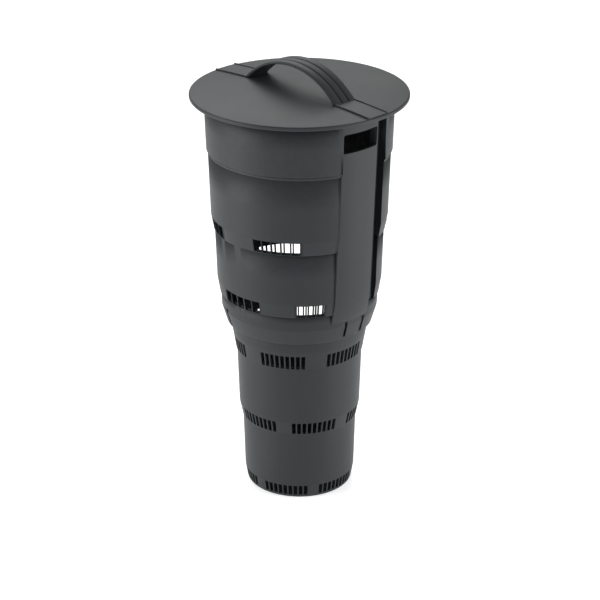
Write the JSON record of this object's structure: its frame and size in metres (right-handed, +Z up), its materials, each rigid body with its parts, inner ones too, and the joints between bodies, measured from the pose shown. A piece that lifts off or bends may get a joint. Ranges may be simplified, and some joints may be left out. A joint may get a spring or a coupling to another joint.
{
  "type": "lidded strainer basket",
  "caption": "Tapering stepped strainer basket with slotted shoulders, an inlet window, a finer lower basket, and an overhanging domed lid with an arched strap handle.",
  "frame": {"origin": "middle of the basket's underside, on the surface it stands on", "axes": "+Z up along the basket's axis, -Y towards the inlet panel, with the handle along Y"},
  "size_m": [0.2, 0.2, 0.4188],
  "materials": {
    "basket_plastic": "satin moulded, fine grain",
    "panel_plastic": "satin moulded, fine grain",
    "lid_plastic": "satin moulded, fine grain"
  },
  "bodies": {
    "basket": {"upper_basket": "basket_plastic", "inlet_panel": "panel_plastic", "lower_basket": "basket_plastic"},
    "lid": {"lid_plate": "lid_plastic", "carry_handle": "lid_plastic"}
  },
  "joints": [
    {"name": "lid_lift", "type": "slide", "parent": "basket", "child": "lid", "axis": [0, 0, 1], "range_m": [0, 0.12]}
  ]
}
